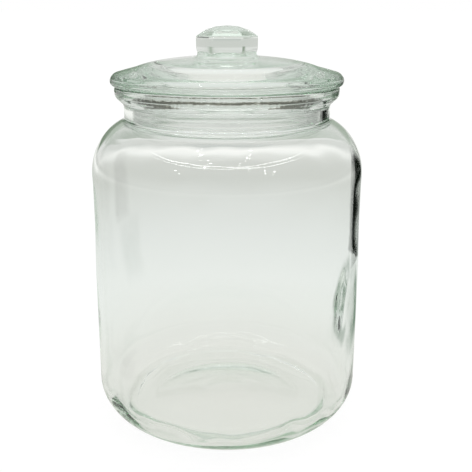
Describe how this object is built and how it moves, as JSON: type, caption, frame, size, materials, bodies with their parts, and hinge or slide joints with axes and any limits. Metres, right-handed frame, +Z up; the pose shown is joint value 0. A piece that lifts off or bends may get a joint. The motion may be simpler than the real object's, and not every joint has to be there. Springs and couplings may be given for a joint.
{
  "type": "specimen jar",
  "caption": "Round-shouldered glass storage jar with a rolled rim, a domed drop-in lid with a faceted knob, and a ribbed clear seal on the lid's plug.",
  "frame": {"origin": "centre of the jar's contact ring, on the surface that the jar stands on", "axes": "+Z up along the jar's axis, from the base to the knob; +Y goes straight back from a front flat of the knob"},
  "size_m": [0.18, 0.18, 0.2648],
  "materials": {
    "jar_glass": "clear pale green soda-lime glass, fire-polished, slightly wavy",
    "lid_glass": "clear pale green pressed glass, polished, thicker and greener than the body",
    "seal_plastic": "clear soft vinyl, slightly cloudy"
  },
  "bodies": {
    "jar": {"jar": "jar_glass"},
    "seal": {"lid_seal": "seal_plastic"},
    "lid": {"lid": "lid_glass"}
  },
  "joints": [
    {"name": "lid_lift", "type": "slide", "parent": "jar", "child": "seal", "axis": [0, 0, 1], "range_m": [0, 0.15]},
    {"name": "lid_turn", "type": "hinge", "parent": "seal", "child": "lid", "pos_m": [0, 0, 0.235], "axis": [0, 0, 1], "continuous": true}
  ]
}
